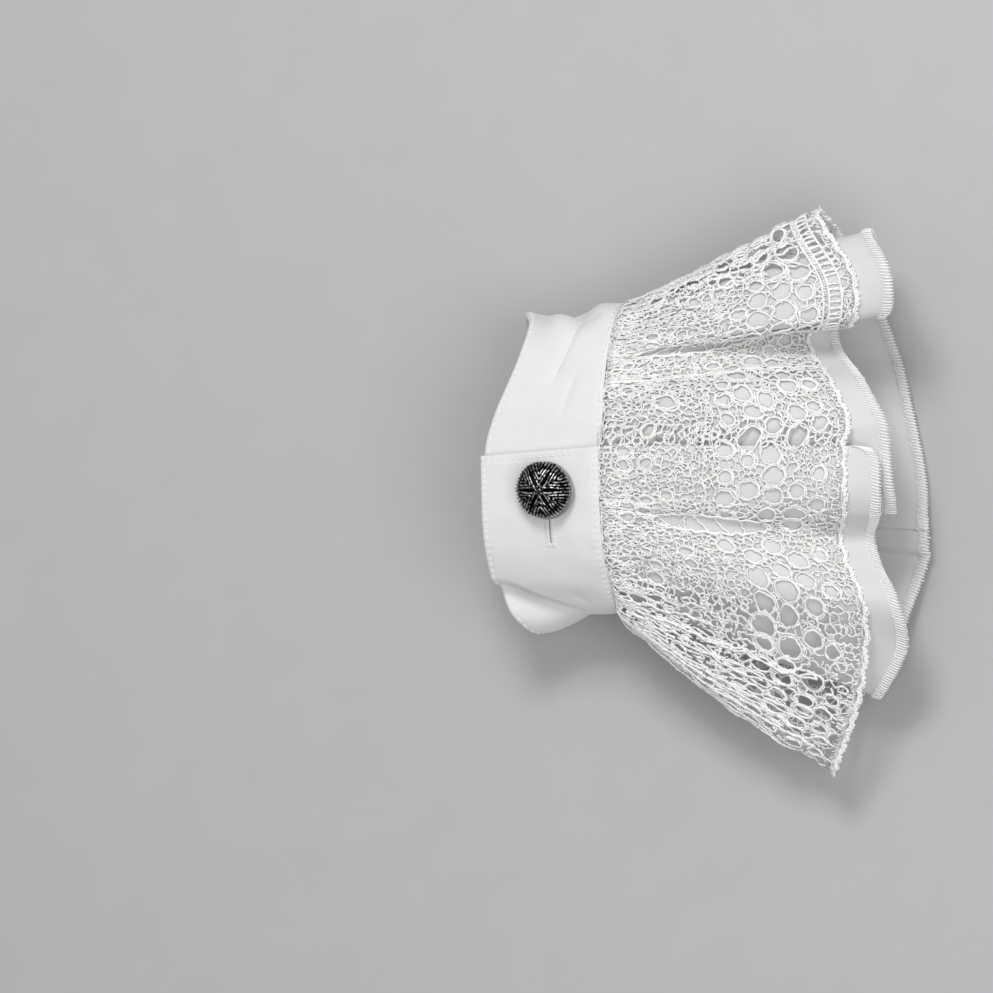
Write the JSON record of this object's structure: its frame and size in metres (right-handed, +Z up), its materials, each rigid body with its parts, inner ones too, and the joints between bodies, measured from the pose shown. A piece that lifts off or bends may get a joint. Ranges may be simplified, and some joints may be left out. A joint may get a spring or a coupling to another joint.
{
  "type": "lace cuff",
  "caption": "Buttoned shirt cuff lying on its side: a folded cotton band with a plain cotton ruffle and a coarse lace ruffle over it, flaring to an open mouth.",
  "frame": {"origin": "middle of the band's flat underside, on the surface that the cuff lies on", "axes": "+X along the arm towards the ruffle's mouth, +Y across towards the cuff's upper side, +Z up"},
  "size_m": [0.1287, 0.1681, 0.0567],
  "materials": {
    "band_cotton": "white cotton, finely woven, pressed",
    "ruffle_cotton": "white cotton, finely woven, overlocked hem",
    "lace": "white cotton lace, coarse corded net",
    "button_metal": "blackened metal with worn bright edges",
    "button_back": "pale clouded resin",
    "thread": "white sewing thread"
  },
  "bodies": {
    "root": {"cuff_band": "band_cotton", "ruffle_cotton": "ruffle_cotton", "ruffle_lace": "lace", "button_cap": "button_metal", "button_back": "button_back", "button_shank": "thread"}
  },
  "joints": []
}
